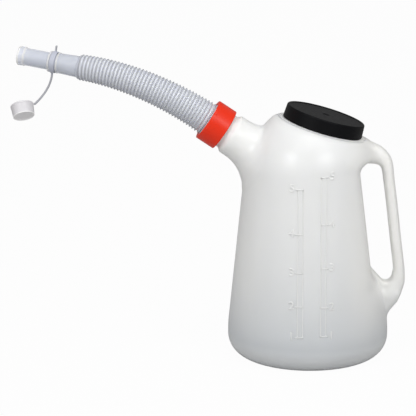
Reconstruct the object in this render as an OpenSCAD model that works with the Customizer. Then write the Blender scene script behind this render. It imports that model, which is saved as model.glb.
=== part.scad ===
// Plastic jug for measuring and pouring engine oil: a blow moulded body with a hollow handle,
// a wide screw cap, and a flexible ribbed spout held on by a screwed collar.
// Millimetres. The origin is the centre of the foot on the surface that the jug stands on.
// +Z is up, the spout points towards -X and the handle towards +X.

/* [Body] */
// Diameter of the round foot
base_d = 188.2; // [176:0.2:200]
// Height of the upright band above the foot
band_h = 37.5; // [30:0.5:48]
// Lean of the side wall from upright, in degrees
side_taper = 5.7; // [4.5:0.1:6.5]
// Radius of the rounded edge between the foot and the wall
foot_r = 26; // [14:1:28]
// Height where the shoulder starts
shoulder_z = 230; // [222:1:240]
// Thickness of the moulded wall
wall = 1.6; // [1.2:0.1:2]
// How far the middle of the foot is pushed up
foot_push = 2.5; // [1:0.5:5]
// Radius of the pushed-up middle of the foot
foot_push_r = 52; // [40:1:60]

/* [Filler neck] */
// How far the filler neck stands from the middle, towards the handle
filler_x = 14.5; // [8:0.5:18]
// Height of the filler brim above the start of the shoulder
filler_rise = 43; // [40:0.5:48]
// Tilt of the filler neck towards the handle, in degrees
filler_tilt = 16; // [12:0.5:18]
// Room for the screw thread between each neck and its cap
thread_room = 2.4; // [1.8:0.1:3]
// Width of the flat brim outside the cap
brim_w = 3.2; // [2:0.2:5]
// Size of the rounded edge of the brim
brim_edge = 5.4; // [3:0.2:7]

/* [Filler cap] */
// Outer diameter of the filler cap at its open end
cap_d = 95; // [92:0.2:98]
// Height of the filler cap
cap_h = 15.8; // [13:0.2:20]
// Thickness of the top of the filler cap
cap_top = 2.2; // [1.6:0.1:3]
// Thickness of the skirt of the filler cap
cap_skirt = 2; // [1.4:0.1:2.2]
// Depth of the sunk top face of the filler cap
cap_dish = 0.8; // [0.4:0.1:1.2]
// Width of the raised rim round the sunk top face
cap_rim = 3.5; // [2:0.1:6]
// Thickness of the sealing disc in the filler cap
seal_t = 1.2; // [0.8:0.1:2]

/* [Spout neck and collar] */
// Distance of the collar's middle from the wall at the start of the shoulder
spout_out = 33.6; // [28:0.2:38]
// Height of the collar's middle above the start of the shoulder
spout_rise = 45.8; // [42:0.2:50]
// Angle of the spout neck above the horizontal, in degrees
spout_angle = 33.7; // [30:0.1:38]
// Radius of the spout neck behind the collar
spout_root_r = 24.1; // [23:0.1:25]
// Radius of the sweep from the spout neck into the body
spout_flare_r = 46; // [40:1:50]
// Outer diameter of the collar
collar_d = 50.4; // [49:0.1:54]
// Length of the collar
collar_l = 23.3; // [20:0.1:30]
// Thickness of the collar's wall
collar_wall = 2.1; // [1.6:0.1:2.3]
// Thickness of the collar's turned-in end
collar_lip = 2; // [1.5:0.1:3]
// Thickness of the flange at the root of the flexible spout
flange_t = 2; // [1.5:0.1:3]
// Thickness of the gasket under the flange
gasket_t = 1.5; // [1:0.1:2.5]

/* [Flexible spout] */
// Number of ribs on the hose
rib_count = 40; // [30:1:44]
// Distance from rib to rib
rib_pitch = 4.05; // [3.6:0.05:4.4]
// Radius over the ribs at the collar
hose_root_r = 19.9; // [18:0.1:20]
// Radius over the ribs at the far end
hose_tip_r = 15; // [14:0.1:17]
// Depth of the grooves between the ribs
rib_depth = 2; // [1:0.1:2.4]
// Wall of the hose and of the nozzle
hose_wall = 1.3; // [1:0.1:1.6]
// Angle of the hose above the horizontal at its far end, in degrees
hose_end_angle = 6.2; // [2:0.5:20]
// Angle of the nozzle above the horizontal, in degrees
nozzle_angle = 8.5; // [2:0.5:20]
// Angle by which the nozzle swings away to the back, in degrees
nozzle_swing = 14; // [0:1:20]

/* [Nozzle] */
// Radius of the smooth sleeve at the start of the nozzle
sleeve_r = 12.5; // [12:0.1:13.5]
// Length of the smooth sleeve
sleeve_l = 25.5; // [18:0.5:35]
// Width of the groove that holds the cap's ring
groove_w = 7.6; // [6.5:0.1:10]
// Radius of the groove
groove_r = 11; // [10.8:0.1:11.4]
// Width of the bead on each side of the groove
bead_w = 2.4; // [1.5:0.1:3]
// Height of each bead over the groove
bead_h = 1.3; // [0.8:0.1:1.6]
// Radius of the pouring tube
tube_r = 10.2; // [9.6:0.1:10.6]
// Length of the pouring tube
tube_l = 28.5; // [18:0.5:35]
// Radius of the lip at the mouth
lip_r = 11.1; // [10.8:0.1:11.2]
// Length of the lip
lip_l = 9; // [6:0.5:10]

/* [Tip cap] */
// Radius of the open end of the tip cap
tip_cap_r = 13.7; // [13:0.1:14]
// Radius of the closed end of the tip cap
tip_cap_end_r = 12.6; // [12:0.1:13]
// Height of the tip cap
tip_cap_h = 14.5; // [12:0.5:18]
// Thickness of the tip cap's closed end
tip_cap_floor = 1.8; // [1.2:0.1:2.5]
// Gap between the lip and the bore of the tip cap
tip_cap_fit = 0.2; // [0.1:0.05:0.3]
// Width of the ring of the strap
ring_w = 6; // [4:0.1:6.2]
// Thickness of the ring of the strap
ring_t = 1.3; // [1:0.1:1.6]
// Width of the strap
strap_w = 4.6; // [3:0.1:5]
// Thickness of the strap
strap_t = 2.4; // [1.2:0.1:2.8]
// Height of the pull tab on top of the ring
tab_h = 7.4; // [4:0.5:12]

/* [Handle] */
// Width of the handle from front to back
grip_w = 26; // [20:1:32]
// Thickness of the grip from the inside to the outside
grip_t = 13; // [11:0.5:15]
// Distance from the flat side of the body to the grip's inner face, at the top
finger_gap = 28; // [25:0.5:31]

/* [Scales] */
// How far the scale marks stand out of the wall
mark_h = 0.6; // [0.3:0.1:1]
// Distance of each scale's inner rail from the middle of the jug
rail_x = 10.4; // [8:0.2:14]
// Distance between the two rails of a scale
rail_gap = 5.8; // [4:0.2:8]
// Width of a rail
rail_w = 1.6; // [1:0.1:2.2]
// Length of the rung at each mark
rung_l = 9.4; // [8:0.2:12]
// Thickness of a rung
rung_t = 1.6; // [0.8:0.1:2.5]

/* [Hidden] */
round_fn = 64;
eps = 0.05;

// Flat faces of different pieces stay this far apart, and loose curved ones a little further.
seat = 0.05;
loose = 0.3;

// Heights of the marks, from 1 to 5, of the scale in litres and of the one in quarts.
litre_marks = [47, 80, 125, 175, 229];
quart_marks = [45.5, 81, 119.5, 164, 215];

base_r = base_d / 2;
function body_r(z) = base_r - max(0, z - band_h) * tan(side_taper);
shoulder_r = body_r(shoulder_z);

// The middle ring that rounds the shoulder between the wall and the brim.
mid_drop = 18;
mid_out = 11;
filler_z = shoulder_z + filler_rise;
cap_r = cap_d / 2;
brim_r = cap_r + brim_w;
cap_draft = 1;
cap_bevel = 1.6;
cap_gap = 0.4;
filler_neck_r = cap_r - cap_skirt - thread_room;
filler_neck_h = cap_h + cap_gap - cap_top - cap_dish - seal_t - 2 * seat;

// The flat side behind the handle: its foot, its lean and the round scoop at its top.
flat_foot_x = 72.2;
flat_foot_z = 103;
flat_top_x = 57.1;
flat_top_z = shoulder_z - 7;
scoop_r = 10.5;
far_x = base_r + 60;

spout_x = -(shoulder_r + spout_out);
spout_z = shoulder_z + spout_rise;
collar_half = collar_l / 2;
flange_top = collar_half - collar_lip - seat;
flange_foot = flange_top - flange_t;
neck_end = flange_foot - gasket_t - 2 * seat;
flange_r = collar_d / 2 - collar_wall - loose;
spout_neck_r = collar_d / 2 - collar_wall - thread_room;
root_step = collar_half + 1;
root_len = 15;

// The hose's middle line leaves the collar along the neck and turns, a little more towards its end,
// into the nozzle.
hose_len = rib_count * rib_pitch;
hose_steps = 2 * rib_count;
hose_sides = 20;
hose_step = hose_len / hose_steps;
hose_start = [spout_x - collar_half * cos(spout_angle), 0, spout_z + collar_half * sin(spout_angle)];
function rise_at(t) = spout_angle + (hose_end_angle - spout_angle) * t * (3 + t) / 4;
function swing_at(t) = nozzle_swing * t;
function heading(t) = let (rise = rise_at(t), swing = swing_at(t))
    [-cos(rise) * cos(swing), cos(rise) * sin(swing), sin(rise)];
hose_line = [for (i = 0, p = hose_start; i <= hose_steps;
    p = p + hose_step * heading((i + 0.5) / hose_steps), i = i + 1) p];
function hose_r(i) = hose_root_r + (hose_tip_r - hose_root_r) * i / hose_steps
    - (i % 2 == 0 ? rib_depth : 0);
nozzle_foot = hose_line[hose_steps];

groove_z = sleeve_l + bead_w;
tube_z = groove_z + groove_w + bead_w;
lip_z = tube_z + tube_l;
nozzle_len = lip_z + lip_l;
ring_r = groove_r + loose;
ring_z = groove_z + (groove_w - ring_w) / 2;

// The tip cap hangs below the nozzle, its closed end turned down and to the front.
cap_hang = [-37.8, 0, -57.4];
cap_lean = [0, 35, 110];
ring_middle = place_on_nozzle([0, 0, ring_z + ring_w / 2]);
tip_cap_at = ring_middle + cap_hang;

function turn_y(p, a) = [p[0] * cos(a) + p[2] * sin(a), p[1], -p[0] * sin(a) + p[2] * cos(a)];
function turn_z(p, a) = [p[0] * cos(a) - p[1] * sin(a), p[0] * sin(a) + p[1] * cos(a), p[2]];
function place_on_nozzle(p) = nozzle_foot + turn_z(turn_y(p, nozzle_angle - 90), -nozzle_swing);
function place_on_tip_cap(p) = tip_cap_at + turn_z(turn_y(p, cap_lean[1]), cap_lean[2]);

module at_filler() {
    translate([filler_x, 0, filler_z]) rotate([0, filler_tilt, 0]) children();
}

module at_spout() {
    translate([spout_x, 0, spout_z]) rotate([0, spout_angle - 90, 0]) children();
}

module at_nozzle() {
    translate(nozzle_foot) rotate([0, nozzle_angle - 90, -nozzle_swing]) children();
}

module at_tip_cap() {
    translate(tip_cap_at) rotate(cap_lean) children();
}

// A closed solid through rings of points: every ring has the same number of points and runs
// clockwise as seen from the next one.
module skin(rings) {
    n = len(rings[0]);
    m = len(rings);
    points = [for (ring = rings) for (p = ring) p];
    sides = [for (i = [0 : m - 2]) for (j = [0 : n - 1])
        let (a = i * n, b = (i + 1) * n, k = (j + 1) % n)
        for (face = [[a + j, a + k, b + k], [a + j, b + k, b + j]]) face];
    first = [for (j = [n - 1 : -1 : 0]) j];
    last = [for (j = [0 : n - 1]) (m - 1) * n + j];
    polyhedron(points, concat([first, last], sides));
}

// The round lower body: a pushed-up foot, a rounded edge, an upright band and a leaning wall.
module round_body(inset) {
    edge = foot_r - inset;
    edge_points = [for (a = [0 : 7.5 : 90]) [base_r - foot_r + edge * sin(a), foot_r - edge * cos(a)]];
    rotate_extrude($fn = 180) polygon(concat(
        [[0, foot_push + inset], [foot_push_r - inset, foot_push + inset],
            [foot_push_r + 2 * foot_push, inset]],
        edge_points,
        [[base_r - inset, band_h], [shoulder_r - inset, shoulder_z], [0, shoulder_z]]));
}

// The shoulder rises from the round wall to the tilted brim of the filler neck.
module shoulder(inset) {
    hull() {
        translate([0, 0, shoulder_z - 1])
            cylinder(r = shoulder_r - inset - eps, h = 1, $fn = round_fn);
        translate([filler_x / 2, 0, filler_z - mid_drop]) rotate([0, filler_tilt / 2, 0])
            cylinder(r = brim_r + mid_out - inset + brim_edge, h = eps, center = true, $fn = round_fn);
        at_filler() translate([0, 0, -brim_edge - inset])
            cylinder(r = brim_r + brim_edge - inset, h = eps, $fn = round_fn);
        at_filler() translate([0, 0, -eps - inset])
            cylinder(r = brim_r - inset, h = eps, $fn = round_fn);
    }
}

// The room for the hand: the space between the flat side of the body and the grip.
module hand_room(grow) {
    scoop_x = flat_top_x + scoop_r;
    arc_points = [for (a = [180 : -15 : 90])
        [scoop_x + (scoop_r + grow) * cos(a), flat_top_z + (scoop_r + grow) * sin(a)]];
    foot = [flat_foot_x - grow, flat_foot_z - grow * tan(22.5)];
    rotate([90, 0, 0]) linear_extrude(height = 3 * base_d, center = true) polygon(concat(
        [foot],
        arc_points,
        [[far_x, flat_top_z + scoop_r + grow], [far_x, foot[1] - (far_x - foot[0])]]));
}

// The spout neck and the flare that joins it to the body, turned about the neck's axis.
module spout_root(inset) {
    flare = spout_flare_r + inset;
    turn = 57;
    root_r = spout_root_r - inset;
    start = -root_step - root_len;
    flare_points = [for (a = [0 : 9.5 : turn]) [root_r + flare * (1 - cos(a)), start - flare * sin(a)]];
    at_spout() rotate_extrude($fn = 90) polygon(concat(
        [[0, neck_end], [spout_neck_r - inset, neck_end], [spout_neck_r - inset, -collar_half],
            [root_r, -root_step - inset]],
        flare_points,
        [[0, start - flare * sin(turn)]]));
}

// Stations along the handle: place along X, height, half thickness and half width.
half_t = grip_t / 2;
half_w = grip_w / 2;
grip_top_x = flat_top_x + finger_gap + half_t;
grip_foot_x = grip_top_x + 15;
handle_stations = [
    [50, shoulder_z + 17, 15, half_w + 6],
    [66, shoulder_z + 14.5, 12.5, half_w + 3],
    [grip_top_x - 13.5, shoulder_z + 11, 10.7, half_w + 1],
    [grip_top_x - 4.5, shoulder_z + 4, half_t + 2, half_w],
    [grip_top_x - 0.7, shoulder_z - 5, half_t + 0.5, half_w],
    [grip_top_x + 1.5, shoulder_z - 20.5, half_t, half_w],
    [grip_top_x + 5.4, flat_foot_z + 78, half_t, half_w],
    [grip_foot_x - 4.2, flat_foot_z + 34, half_t, half_w],
    [grip_foot_x - 0.4, flat_foot_z + 5, half_t, half_w],
    [grip_foot_x, flat_foot_z - 5, half_t + 0.5, half_w],
    [grip_foot_x - 1.2, flat_foot_z - 15, half_t + 2, half_w],
    [grip_foot_x - 6.4, flat_foot_z - 25, half_t + 4, half_w + 1],
    [grip_foot_x - 14.2, flat_foot_z - 35.5, half_t + 4.6, half_w + 3],
    [grip_foot_x - 20.6, flat_foot_z - 46, half_t + 3.5, half_w + 4],
    [grip_foot_x - 26.5, flat_foot_z - 58, half_t + 2, half_w + 4]];

// A smooth curve through four neighbouring values, from the second to the third.
function glide(a, b, c, d, t) = b + t * (c - a) / 2 + t * t * (a - 2.5 * b + 2 * c - d / 2)
    + t * t * t * (1.5 * (b - c) + (d - a) / 2);
function station(i) = handle_stations[max(0, min(len(handle_stations) - 1, i))];
function handle_at(u) = let (i = floor(u), t = u - i)
    glide(station(i - 1), station(i), station(i + 1), station(i + 2), t);

// The hollow handle: flat oval sections swept through the stations.
module handle(inset) {
    per_station = 2;
    sides = 16;
    last = (len(handle_stations) - 1) * per_station;
    rings = [for (k = [0 : last])
        let (u = k / per_station,
            here = handle_at(u),
            ahead = handle_at(min(u + 0.1, last / per_station)),
            behind = handle_at(max(u - 0.1, 0)),
            run = unit([ahead[0] - behind[0], ahead[1] - behind[1]]))
        [for (j = [0 : sides - 1])
            let (a = 360 * j / sides,
                out = (here[2] - inset) * sign(cos(a)) * pow(abs(cos(a)), 0.75),
                side = (here[3] - inset) * sign(sin(a)) * pow(abs(sin(a)), 0.75))
            [here[0] - run[1] * out, side, here[1] + run[0] * out]]];
    skin(rings);
}

// The foot of the handle fills the corner between the grip and the body with a web. Its top slopes
// down from the flat side into a round bottom.
module handle_web(inset) {
    web_r = 9;
    web_x = grip_foot_x - half_t - web_r + 1;
    web_z = flat_foot_z - 5.5;
    slope_l = 2.3 * web_r;
    top_points = [for (a = [0 : -15 : -135])
        [web_x + (web_r + inset) * cos(a), web_z + (web_r + inset) * sin(a)]];
    rotate([90, 0, 0]) linear_extrude(height = grip_w - 2 * inset - 6, center = true) polygon(concat(
        top_points,
        [[web_x - slope_l, web_z + slope_l - (web_r + inset) * sqrt(2)],
            [web_x - web_r, flat_foot_z - 50], [web_x + web_r, flat_foot_z - 35],
            [web_x + 1.7 * web_r, web_z - inset]]));
}

// The outline of a mark as seen from the front, cut through to the middle of the jug.
module mark(x, z, w, h) {
    translate([x - w / 2, -base_d, z]) cube([w, base_d, h]);
}

// One scale, a ladder: two upright rails with a rung at each mark that stands out on its outer side.
module scale_marks(side, marks) {
    top = min(marks[4], shoulder_z - 1);
    for (x = [rail_x, rail_x + rail_gap]) mark(side * x, marks[0], rail_w, top - marks[0]);
    rung_x = rail_x + (rung_l - rail_w) / 2;
    for (z = marks) if (z < shoulder_z) mark(side * rung_x, z - rung_t / 2, rung_l, rung_t);
}

// The scales follow the wall and stand out of it evenly.
module raised_marks() {
    intersection() {
        round_body(-mark_h);
        union() {
            scale_marks(1, litre_marks);
            scale_marks(-1, quart_marks);
        }
    }
}

module body_form(inset) {
    difference() {
        union() {
            round_body(inset);
            shoulder(inset);
        }
        hand_room(inset);
    }
    spout_root(inset);
    handle(inset);
    handle_web(inset);
}

module jug_body() {
    color("ghostwhite") difference() {
        union() {
            body_form(0);
            at_filler() translate([0, 0, -brim_edge])
                cylinder(r = filler_neck_r, h = filler_neck_h + brim_edge, $fn = 120);
            raised_marks();
        }
        body_form(wall);
        at_filler() translate([0, 0, -2 * brim_edge])
            cylinder(r = filler_neck_r - wall, h = filler_neck_h + 3 * brim_edge, $fn = 120);
        at_spout() cylinder(r = spout_neck_r - wall, h = collar_l, center = true, $fn = 90);
    }
}

module filler_cap() {
    bore = cap_r - cap_skirt;
    color("#26282c") at_filler() translate([0, 0, cap_gap]) rotate_extrude($fn = 180) polygon([
        [bore, 0], [cap_r, 0], [cap_r - cap_draft, cap_h - cap_bevel],
        [cap_r - cap_draft - cap_bevel, cap_h], [cap_r - cap_draft - cap_rim, cap_h],
        [cap_r - cap_draft - cap_rim - cap_dish, cap_h - cap_dish],
        [0, cap_h - cap_dish], [0, cap_h - cap_dish - cap_top], [bore, cap_h - cap_dish - cap_top]]);
}

module filler_cap_seal() {
    color("gainsboro") at_filler() translate([0, 0, filler_neck_h + seat])
        cylinder(r = cap_r - cap_skirt - loose, h = seal_t, $fn = 120);
}

module spout_collar() {
    color("orangered") at_spout() difference() {
        cylinder(d = collar_d, h = collar_l, center = true, $fn = 120);
        translate([0, 0, -collar_lip])
            cylinder(d = collar_d - 2 * collar_wall, h = collar_l, center = true, $fn = 120);
        cylinder(r = hose_root_r + loose, h = 2 * collar_l, center = true, $fn = 120);
    }
}

module spout_gasket() {
    color("dimgray") at_spout() translate([0, 0, neck_end + seat]) difference() {
        cylinder(r = spout_neck_r, h = gasket_t, $fn = 90);
        cylinder(r = spout_neck_r - wall, h = 3 * gasket_t, center = true, $fn = 90);
    }
}

function hose_ring(i, r) = let (t = i / hose_steps, rise = rise_at(t), swing = swing_at(t))
    [for (j = [0 : hose_sides - 1])
        let (a = 360 * j / hose_sides)
        hose_line[i] + turn_z(turn_y([r * cos(a), r * sin(a), 0], rise - 90), -swing)];

// The ribbed hose is a tube: its outside runs out to the nozzle and its inside runs back.
module ribbed_hose() {
    n = hose_sides;
    rings = concat([for (i = [0 : hose_steps]) hose_ring(i, hose_r(i))],
        [for (i = [hose_steps : -1 : 0]) hose_ring(i, hose_r(i) - hose_wall)]);
    m = len(rings);
    points = [for (ring = rings) for (p = ring) p];
    faces = [for (i = [0 : m - 1]) for (j = [0 : n - 1])
        let (a = i * n, b = ((i + 1) % m) * n, k = (j + 1) % n)
        for (face = [[a + j, b + j, b + k], [a + j, b + k, a + k]]) face];
    polyhedron(points, faces);
}

// The plain root of the hose with the flange that the collar presses on the gasket.
module hose_root() {
    root_r = hose_r(0) + eps;
    bore = (hose_r(0) - hose_wall) * cos(180 / hose_sides) - eps;
    at_spout() rotate_extrude($fn = 90) polygon([
        [bore, flange_foot], [flange_r, flange_foot], [flange_r, flange_top], [root_r, flange_top],
        [root_r, collar_half + eps], [bore, collar_half + eps]]);
}

// The smooth nozzle: sleeve, two beads with the ring's groove between them, tube and lip. It
// reaches a little into the last groove of the hose, which points slightly lower.
module nozzle() {
    reach = 0.8;
    start_r = hose_r(hose_steps) + eps;
    start_bore = (hose_r(hose_steps) - hose_wall) * cos(180 / hose_sides) - eps;
    lip_edge = 0.8;
    at_nozzle() rotate_extrude($fn = 90) polygon([
        [start_bore, -reach], [start_r, -reach], [start_r, 1], [sleeve_r, 1.5],
        [groove_r + bead_h - 0.5, sleeve_l], [groove_r + bead_h, sleeve_l + 0.5],
        [groove_r + bead_h, groove_z - 0.4], [groove_r, groove_z], [groove_r, groove_z + groove_w],
        [groove_r + bead_h, groove_z + groove_w + 0.4], [groove_r + bead_h, tube_z - 0.4],
        [tube_r, tube_z], [tube_r, lip_z], [lip_r - 0.2, lip_z + 0.4], [lip_r, lip_z + lip_edge],
        [lip_r, nozzle_len - lip_edge], [lip_r - lip_edge, nozzle_len],
        [tube_r - hose_wall, nozzle_len], [tube_r - hose_wall, groove_z],
        [sleeve_r - hose_wall, 1]]);
}

module flexible_spout() {
    color("lightsteelblue") union() {
        hose_root();
        ribbed_hose();
        nozzle();
    }
}

// The strap leaves the ring's underside, hangs and curves in to the rim of the tip cap.
strap_from = place_on_nozzle([-ring_r - ring_t / 2, 0, ring_z + ring_w / 2 + 1.4]);
strap_to = place_on_tip_cap([0, -tip_cap_r - strap_t / 2 - loose, tip_cap_h / 2]);
strap_drop = [0, 0, -16];
strap_lift = [8.5, -1.6, 7.5];
strap_bend = [strap_from, strap_from + strap_drop, strap_to + strap_lift, strap_to];
function bezier(p, t) = pow(1 - t, 3) * p[0] + 3 * t * pow(1 - t, 2) * p[1]
    + 3 * t * t * (1 - t) * p[2] + t * t * t * p[3];
function unit(v) = v / norm(v);

module strap() {
    steps = 12;
    across = [0, 1, 0];
    rings = [for (k = [0 : steps])
        let (t = k / steps,
            run = unit(bezier(strap_bend, min(1, t + 0.02)) - bezier(strap_bend, max(0, t - 0.02))),
            up = unit(cross(across, run)),
            mid = bezier(strap_bend, t))
        [for (c = [[-1, -0.5], [-0.8, -1], [0.8, -1], [1, -0.5], [1, 0.5], [0.8, 1], [-0.8, 1], [-1, 0.5]])
            mid + across * c[0] * strap_w / 2 + up * c[1] * strap_t / 2]];
    skin(rings);
}

module tip_cap_strap() {
    tab_t = 1.4;
    color("gray") difference() {
        union() {
            at_nozzle() translate([0, 0, ring_z]) cylinder(r = ring_r + ring_t, h = ring_w, $fn = 60);
            at_nozzle() translate([ring_r + ring_t / 2, -strap_w / 2, ring_z + (ring_w - tab_t) / 2])
                cube([tab_h + ring_t / 2, strap_w, tab_t]);
            strap();
        }
        at_nozzle() cylinder(r = ring_r, h = 2 * nozzle_len, center = true, $fn = 60);
    }
}

// The closed end is sunk a little inside its own edge.
module tip_cap() {
    bore = lip_r + tip_cap_fit;
    half = tip_cap_h / 2;
    end = 0.8 - half;
    color("white") at_tip_cap() rotate_extrude($fn = 90) polygon([
        [0, end], [tip_cap_end_r - 2, end], [tip_cap_end_r - 1.6, -half],
        [tip_cap_end_r - 0.6, -half], [tip_cap_end_r, -half + 0.6], [tip_cap_r, half],
        [bore, half], [bore - 0.4, end + tip_cap_floor], [0, end + tip_cap_floor]]);
}

jug_body();
filler_cap();
filler_cap_seal();
spout_collar();
spout_gasket();
flexible_spout();
tip_cap_strap();
tip_cap();
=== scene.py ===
import bmesh
import bpy
import math
import numpy as np
from itertools import product
from mathutils import Matrix, Vector


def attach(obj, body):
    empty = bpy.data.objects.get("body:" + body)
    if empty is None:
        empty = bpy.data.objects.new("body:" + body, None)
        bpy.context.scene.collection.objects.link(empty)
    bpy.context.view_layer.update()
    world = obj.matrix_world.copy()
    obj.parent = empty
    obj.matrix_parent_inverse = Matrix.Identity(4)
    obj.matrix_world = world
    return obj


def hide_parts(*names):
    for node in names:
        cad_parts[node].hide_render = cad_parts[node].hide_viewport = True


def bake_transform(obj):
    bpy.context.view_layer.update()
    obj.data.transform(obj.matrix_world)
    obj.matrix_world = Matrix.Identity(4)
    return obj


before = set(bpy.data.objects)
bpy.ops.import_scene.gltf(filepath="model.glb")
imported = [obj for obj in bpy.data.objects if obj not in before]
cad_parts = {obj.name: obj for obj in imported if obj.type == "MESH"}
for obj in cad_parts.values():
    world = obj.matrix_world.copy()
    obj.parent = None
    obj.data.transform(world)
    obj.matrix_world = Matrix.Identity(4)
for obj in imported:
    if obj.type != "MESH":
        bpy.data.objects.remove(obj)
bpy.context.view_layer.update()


# The jug body is one blow moulding in natural polyethylene, a milky see-through plastic with a
# wall of 1.6 mm. Shoulder, necks and the hollow handle flow into each other without an edge, so
# its outside is worked out as one field, negative inside the plastic, in the source's millimetres.
MM = 0.001
wall = 1.6
base_r = 94.1
band_top, band_ease = 37.5, 6
side_lean = math.radians(5.7)
foot_round = 26
foot_push, foot_push_from, foot_push_to = 2.5, 48, 58
shoulder_z = 230
shoulder_r = base_r - (shoulder_z - band_top) * math.tan(side_lean)
brim_at = np.array([14.5, 0, 273])
brim_tilt = math.radians(16)
brim_up = (math.sin(brim_tilt), 0, math.cos(brim_tilt))
brim_r, brim_round = 55.5, 6
brim_groove_r, brim_groove_half, brim_edge_r = 52.2, 1.1, 56
fan_narrowing, fan_limit = 4.6, 1.3
filler_neck_r = 43.1
filler_neck_end = 11.9
spout_at = np.array([-shoulder_r - 33.6, 0, shoulder_z + 45.8])
spout_rise = math.radians(33.7)
spout_lean = spout_rise - math.pi / 2
spout_out = (-math.cos(spout_rise), 0, math.sin(spout_rise))
spout_neck_r, spout_root_r = 20.7, 24.4
spout_neck_end = 6.0
spout_step = -12.65
recess_start, recess_end = spout_step - 8.5, spout_step - 2.4
flare_start, flare_r, flare_depth = -27.65, 46, 38.6
flare_trim, flare_trim_from = 3.4, 27
gap_foot = (72.2, 103)
gap_lean = (72.2 - 57.1) / 120
gap_top, gap_round = 234.6, 10.5
web_middle, web_r, web_half = (92.1, 97.5), 9, 10
web_left, web_right, web_right_lean = 62, (101.1, 68), 0.21
web_low, web_low_slope, web_low_share = (83.1, 53), 0.83, 0.77
handle_from, handle_power = 40, 2.67
far_away, deep_inside = 60.0, -9
# Place along X, height, half thickness and half width at each station of the handle.
handle_stations = np.array([
    (50, 247, 14.4, 19), (66, 244.5, 11.9, 16), (78.1, 241, 10.4, 14), (87.1, 234, 8.5, 13),
    (90.9, 225, 7, 13), (93.1, 209.5, 6.5, 13), (97, 181, 6.5, 13), (102.4, 137, 6.5, 13),
    (106.2, 108, 6.5, 13), (106.6, 98, 7, 13), (105.4, 88, 8, 13), (100.2, 78, 9.3, 14),
    (92.4, 67.5, 9.9, 16), (86, 57, 9.4, 17), (80.1, 45, 8.5, 17)], float)


def soft_max(a, b, size):
    """The larger of two fields, with the crease between them filled or eased over that size."""
    near = np.maximum(size - np.abs(a - b), 0) / size
    return np.maximum(a, b) + near * near * size / 4


def soft_min(a, b, size):
    return -soft_max(-a, -b, size)


def round_max(a, b, radius):
    """Two faces that meet in an edge rounded to that radius."""
    return (np.minimum(np.maximum(a, b), -radius)
            + np.hypot(np.maximum(a + radius, 0), np.maximum(b + radius, 0)))


def smooth_step(start, end, value):
    share = np.clip((value - start) / (end - start), 0, 1)
    return share * share * (3 - 2 * share)


def smooth_line(stations, per_station):
    """Points of a smooth curve through the stations, with their sizes along with them."""
    padded = np.vstack([stations[:1], stations, stations[-1:]])
    t = np.arange(0, 1, 1 / per_station)[:, None]
    runs = []
    for a, b, c, d in zip(padded, padded[1:], padded[2:], padded[3:]):
        runs.append(b + t * (c - a) / 2 + t * t * (a - 2.5 * b + 2 * c - d / 2)
                    + t ** 3 * (1.5 * (b - c) + (d - a) / 2))
    return np.vstack(runs + [stations[-1:]])


handle_line = smooth_line(handle_stations, 6)
handle_run = np.gradient(handle_line[:, :2], axis=0)
handle_run /= np.linalg.norm(handle_run, axis=1)[:, None]


def nearest(spots, line):
    """For every spot, given as one array for each axis, the number of the line's nearest point."""
    best = np.full(spots[0].shape, 1e9)
    at = np.zeros(spots[0].shape, int)
    for k, stop in enumerate(line):
        gap = sum((axis - value) ** 2 for axis, value in zip(spots, stop))
        closer = gap < best
        best[closer], at[closer] = gap[closer], k
    return at


def past_ends(at, ahead, line):
    """How far a spot lies past either end of a line, by its nearest point and its lead on it."""
    return np.where(at == 0, -ahead, np.where(at == len(line) - 1, ahead, deep_inside))


def along_and_off(x, y, z, at, lean):
    """Height along an axis in the XZ plane that leans from +Z towards +X, and distance from it."""
    dx, dz = x - at[0], z - at[2]
    along = dx * math.sin(lean) + dz * math.cos(lean)
    off = np.hypot(dx * math.cos(lean) - dz * math.sin(lean), y)
    return along, off


def round_field(x, y, z):
    """The round lower body, and over it the shoulder that turns up into the tilted brim."""
    r = np.hypot(x, y)
    lean_in = soft_max(z - band_top, 0 * z, band_ease) * math.tan(side_lean)
    side = (r - base_r + lean_in) * math.cos(side_lean)
    push = foot_push * (1 - smooth_step(foot_push_from, foot_push_to, r))
    lower = round_max(side, push - z, foot_round)
    hinge_x = brim_at[0] + (brim_at[2] - shoulder_z) / math.tan(brim_tilt)
    far, up = hinge_x - x, z - shoulder_z
    share = np.clip(np.arctan2(up, far) / brim_tilt, 0, fan_limit)
    middle = hinge_x - (hinge_x - np.hypot(hinge_x - brim_at[0], brim_at[2] - shoulder_z)) * share
    narrowing = fan_narrowing * share + (shoulder_r - brim_r - fan_narrowing) * share * share
    fan = np.hypot(np.hypot(far, up) - middle, y) - shoulder_r + narrowing
    brim, _ = along_and_off(x, y, z, brim_at, brim_tilt)
    return np.where(up < 0, lower, round_max(fan, brim, brim_round))


def hand_room(x, z):
    """The finger gap: the flat side behind the grip, its sloping foot and its rounded top."""
    flat = (gap_foot[0] - (z - gap_foot[1]) * gap_lean - x) / math.hypot(1, gap_lean)
    foot = (sum(gap_foot) - x - z) / math.sqrt(2)
    return soft_max(round_max(flat, z - gap_top, gap_round), foot, 3)


def spout_root(x, y, z):
    """The spout neck: flared where it leaves the side, and narrower where the collar covers it."""
    along, off = along_and_off(x, y, z, spout_at, spout_lean)
    depth = np.clip(flare_start - along, 0, flare_depth)
    radius = spout_root_r + flare_r - np.sqrt(flare_r ** 2 - depth ** 2)
    radius -= flare_trim * smooth_step(flare_trim_from, flare_depth, depth)
    radius -= (spout_root_r - spout_neck_r) * smooth_step(recess_start, recess_end, along)
    return soft_max(off - radius, flare_start - flare_depth - along, 4)


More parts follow.
